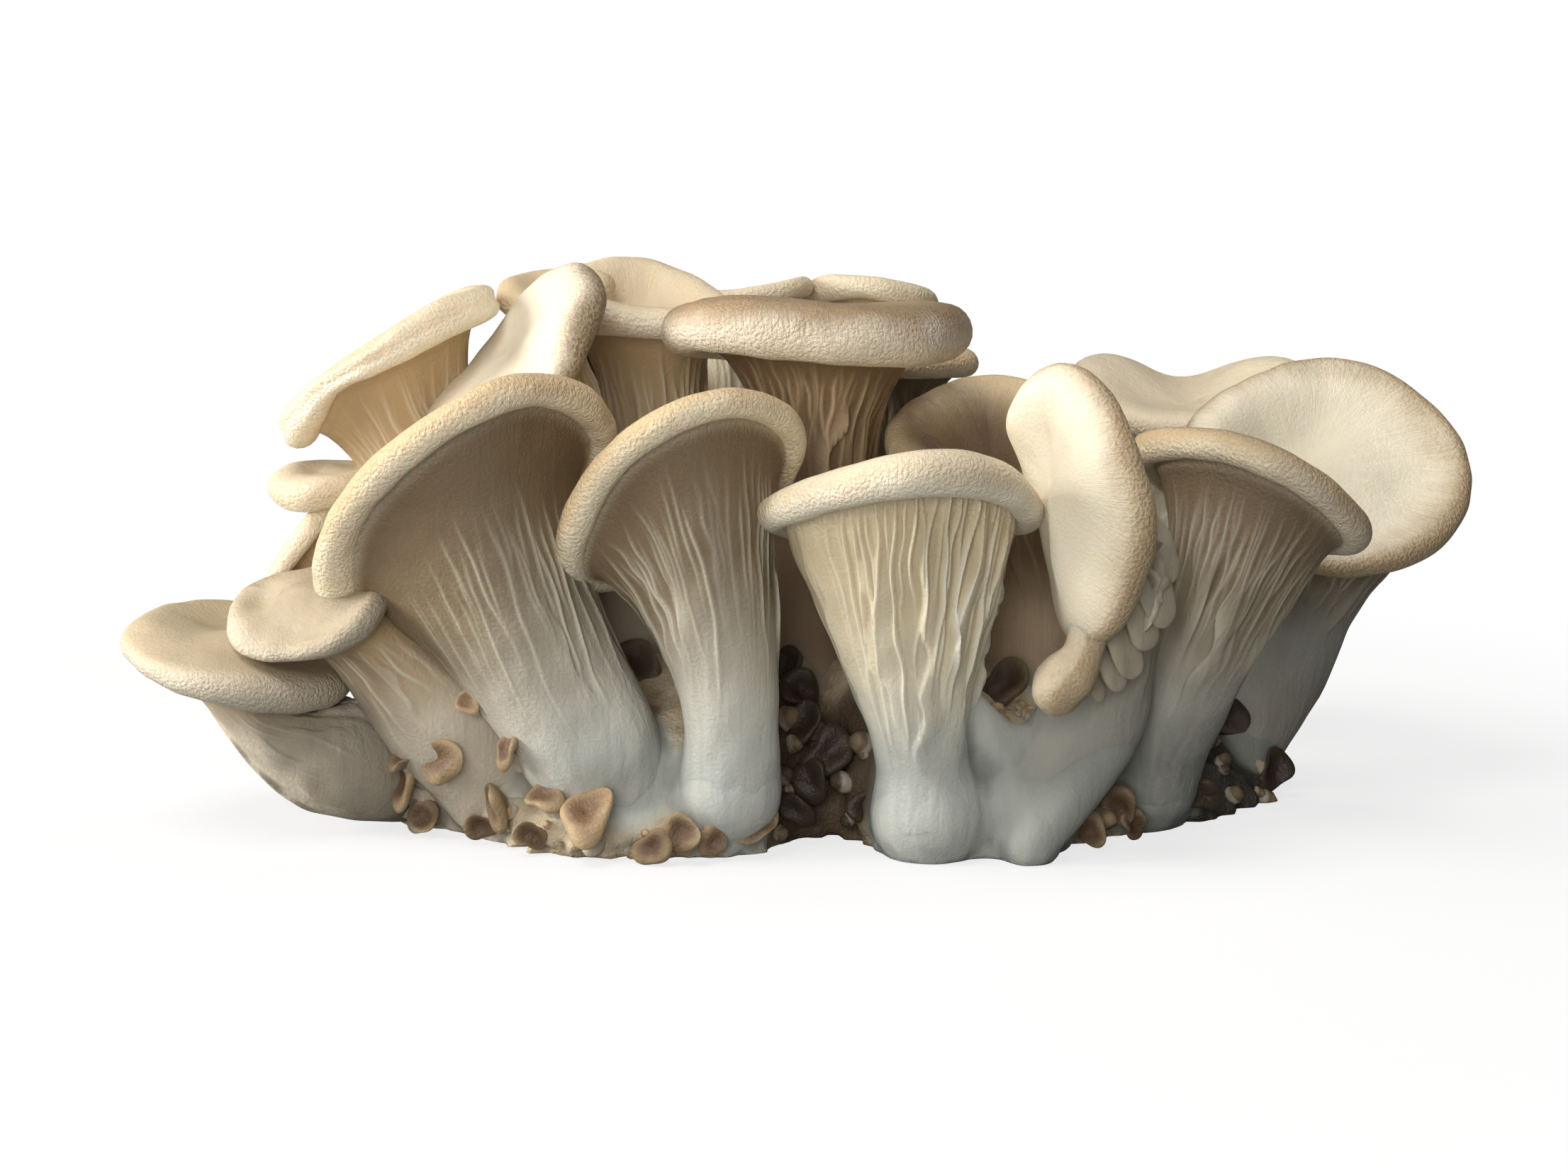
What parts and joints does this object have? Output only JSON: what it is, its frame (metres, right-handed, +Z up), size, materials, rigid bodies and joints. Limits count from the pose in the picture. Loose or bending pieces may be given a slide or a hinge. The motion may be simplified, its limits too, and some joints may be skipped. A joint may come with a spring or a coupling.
{
  "type": "oyster mushroom cluster",
  "caption": "Cluster of oyster mushrooms, cut from its block: funnel caps with rolled edges over gills and pale stems, on one shared white base with small pins.",
  "frame": {"origin": "on the flat cut under the cluster, near the middle of its width, where it stands", "axes": "+X along the cluster's wide front, to the right as seen from the front; +Y from the front to the back; +Z up"},
  "size_m": [0.2677, 0.1749, 0.1085],
  "materials": {
    "mycelium": "white felted mycelium, matt, damp and brownish in its hollows",
    "flesh_cream": "fungus flesh, satin: pale cream cap with a whiter stem",
    "flesh_tan": "fungus flesh, satin: tan cap edge over cream gills",
    "flesh_gold": "fungus flesh, satin: warm golden cream",
    "flesh_pale": "fungus flesh, satin: smooth pale ivory",
    "flesh_grey": "fungus flesh, satin: greyish beige with fine fibres",
    "flesh_brown": "fungus flesh, satin: brown, from the damp middle of the cluster",
    "flesh_toast": "fungus flesh, satin: toasted beige edge round a paler top",
    "flesh_pin": "fungus flesh, satin: brown caps no wider than a fingertip"
  },
  "bodies": {
    "root": {"cut_base": "mycelium", "mushroom_front_centre": "flesh_cream", "mushroom_front_left_large": "flesh_tan", "mushroom_front_left_tall": "flesh_tan", "mushroom_front_right_upright": "flesh_pale", "mushroom_front_right": "flesh_tan", "mushroom_top_centre": "flesh_grey", "mushroom_left_small": "flesh_cream", "mushroom_far_left": "flesh_gold", "mushroom_right_large": "flesh_pale", "mushroom_right_back": "flesh_cream", "mushroom_centre_right": "flesh_brown", "mushroom_centre_back": "flesh_tan", "mushroom_top_left_upright": "flesh_toast", "mushroom_top_left_wide": "flesh_gold", "mushroom_left_middle_small": "flesh_cream", "mushroom_left_middle_thin": "flesh_gold", "mushroom_top_left_small": "flesh_tan", "mushroom_top_left_folded": "flesh_cream", "mushroom_top_back_left": "flesh_tan", "mushroom_top_back_right": "flesh_cream", "mushroom_back_left": "flesh_tan", "mushroom_back_centre": "flesh_cream", "mushroom_back_right": "flesh_tan", "pin_left_1": "flesh_pin", "pin_left_2": "flesh_pin", "pin_left_3": "flesh_pin", "pin_left_4": "flesh_pin", "pin_left_5": "flesh_pin", "pin_left_6": "flesh_pin", "pin_left_7": "flesh_pin", "pin_left_8": "flesh_pin", "pin_left_9": "flesh_pin", "pin_left_10": "flesh_pin", "pin_left_11": "flesh_pin", "pin_centre_1": "flesh_pin", "pin_centre_2": "flesh_pin", "pin_centre_3": "flesh_pin", "pin_centre_4": "flesh_pin", "pin_gap_1": "flesh_pin", "pin_gap_2": "flesh_pin", "pin_gap_3": "flesh_pin", "pin_gap_4": "flesh_pin", "pin_gap_5": "flesh_pin", "pin_gap_6": "flesh_pin", "pin_gap_7": "flesh_pin", "pin_right_1": "flesh_pin", "pin_right_2": "flesh_pin", "pin_right_3": "flesh_pin", "pin_right_4": "flesh_pin", "pin_right_5": "flesh_pin", "pin_right_6": "flesh_pin", "pin_behind_1": "flesh_pin", "pin_behind_2": "flesh_pin", "pin_back_1": "flesh_pin", "pin_back_2": "flesh_pin", "pin_back_3": "flesh_pin", "pin_back_4": "flesh_pin", "pin_back_5": "flesh_pin"}
  },
  "joints": []
}
